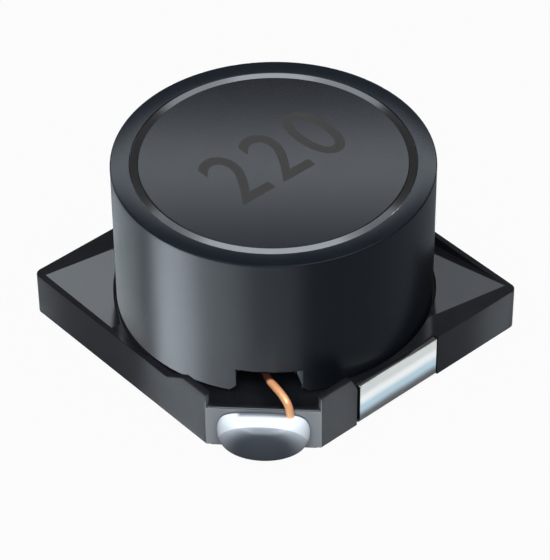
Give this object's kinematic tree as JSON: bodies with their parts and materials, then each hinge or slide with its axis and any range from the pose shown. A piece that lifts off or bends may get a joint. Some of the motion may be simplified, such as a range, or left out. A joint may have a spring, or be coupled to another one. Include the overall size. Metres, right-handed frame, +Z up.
{
  "type": "shielded smd inductor",
  "caption": "Round ferrite-shielded power inductor on a square moulded base with cut-off corners, soldered wire ends and folded tinned side terminals.",
  "frame": {"origin": "centre of the base in the plane of the board, level with the undersides of the terminals", "axes": "+Z up from the board along the core's axis, +X out of the side with the front terminal, the front cut corner at +X -Y"},
  "size_m": [0.0128, 0.0128, 0.0076],
  "materials": {
    "moulding": "black glass-filled moulding, satin",
    "ring_ferrite": "ground dark ferrite, satin",
    "drum_ferrite": "ground dark ferrite, satin",
    "epoxy": "cured dark epoxy, glossy",
    "enamelled_copper": "enamelled copper wire",
    "tinned_strip": "matte tin plate, rolled along the strip",
    "solder": "bright smooth solder"
  },
  "bodies": {
    "root": {"base": "moulding", "terminal_front": "tinned_strip", "terminal_back": "tinned_strip", "seat_epoxy": "epoxy", "drum_core": "drum_ferrite", "winding": "enamelled_copper", "shield_ring": "ring_ferrite", "gap_epoxy": "epoxy", "solder_front": "solder", "solder_back": "solder"}
  },
  "joints": []
}
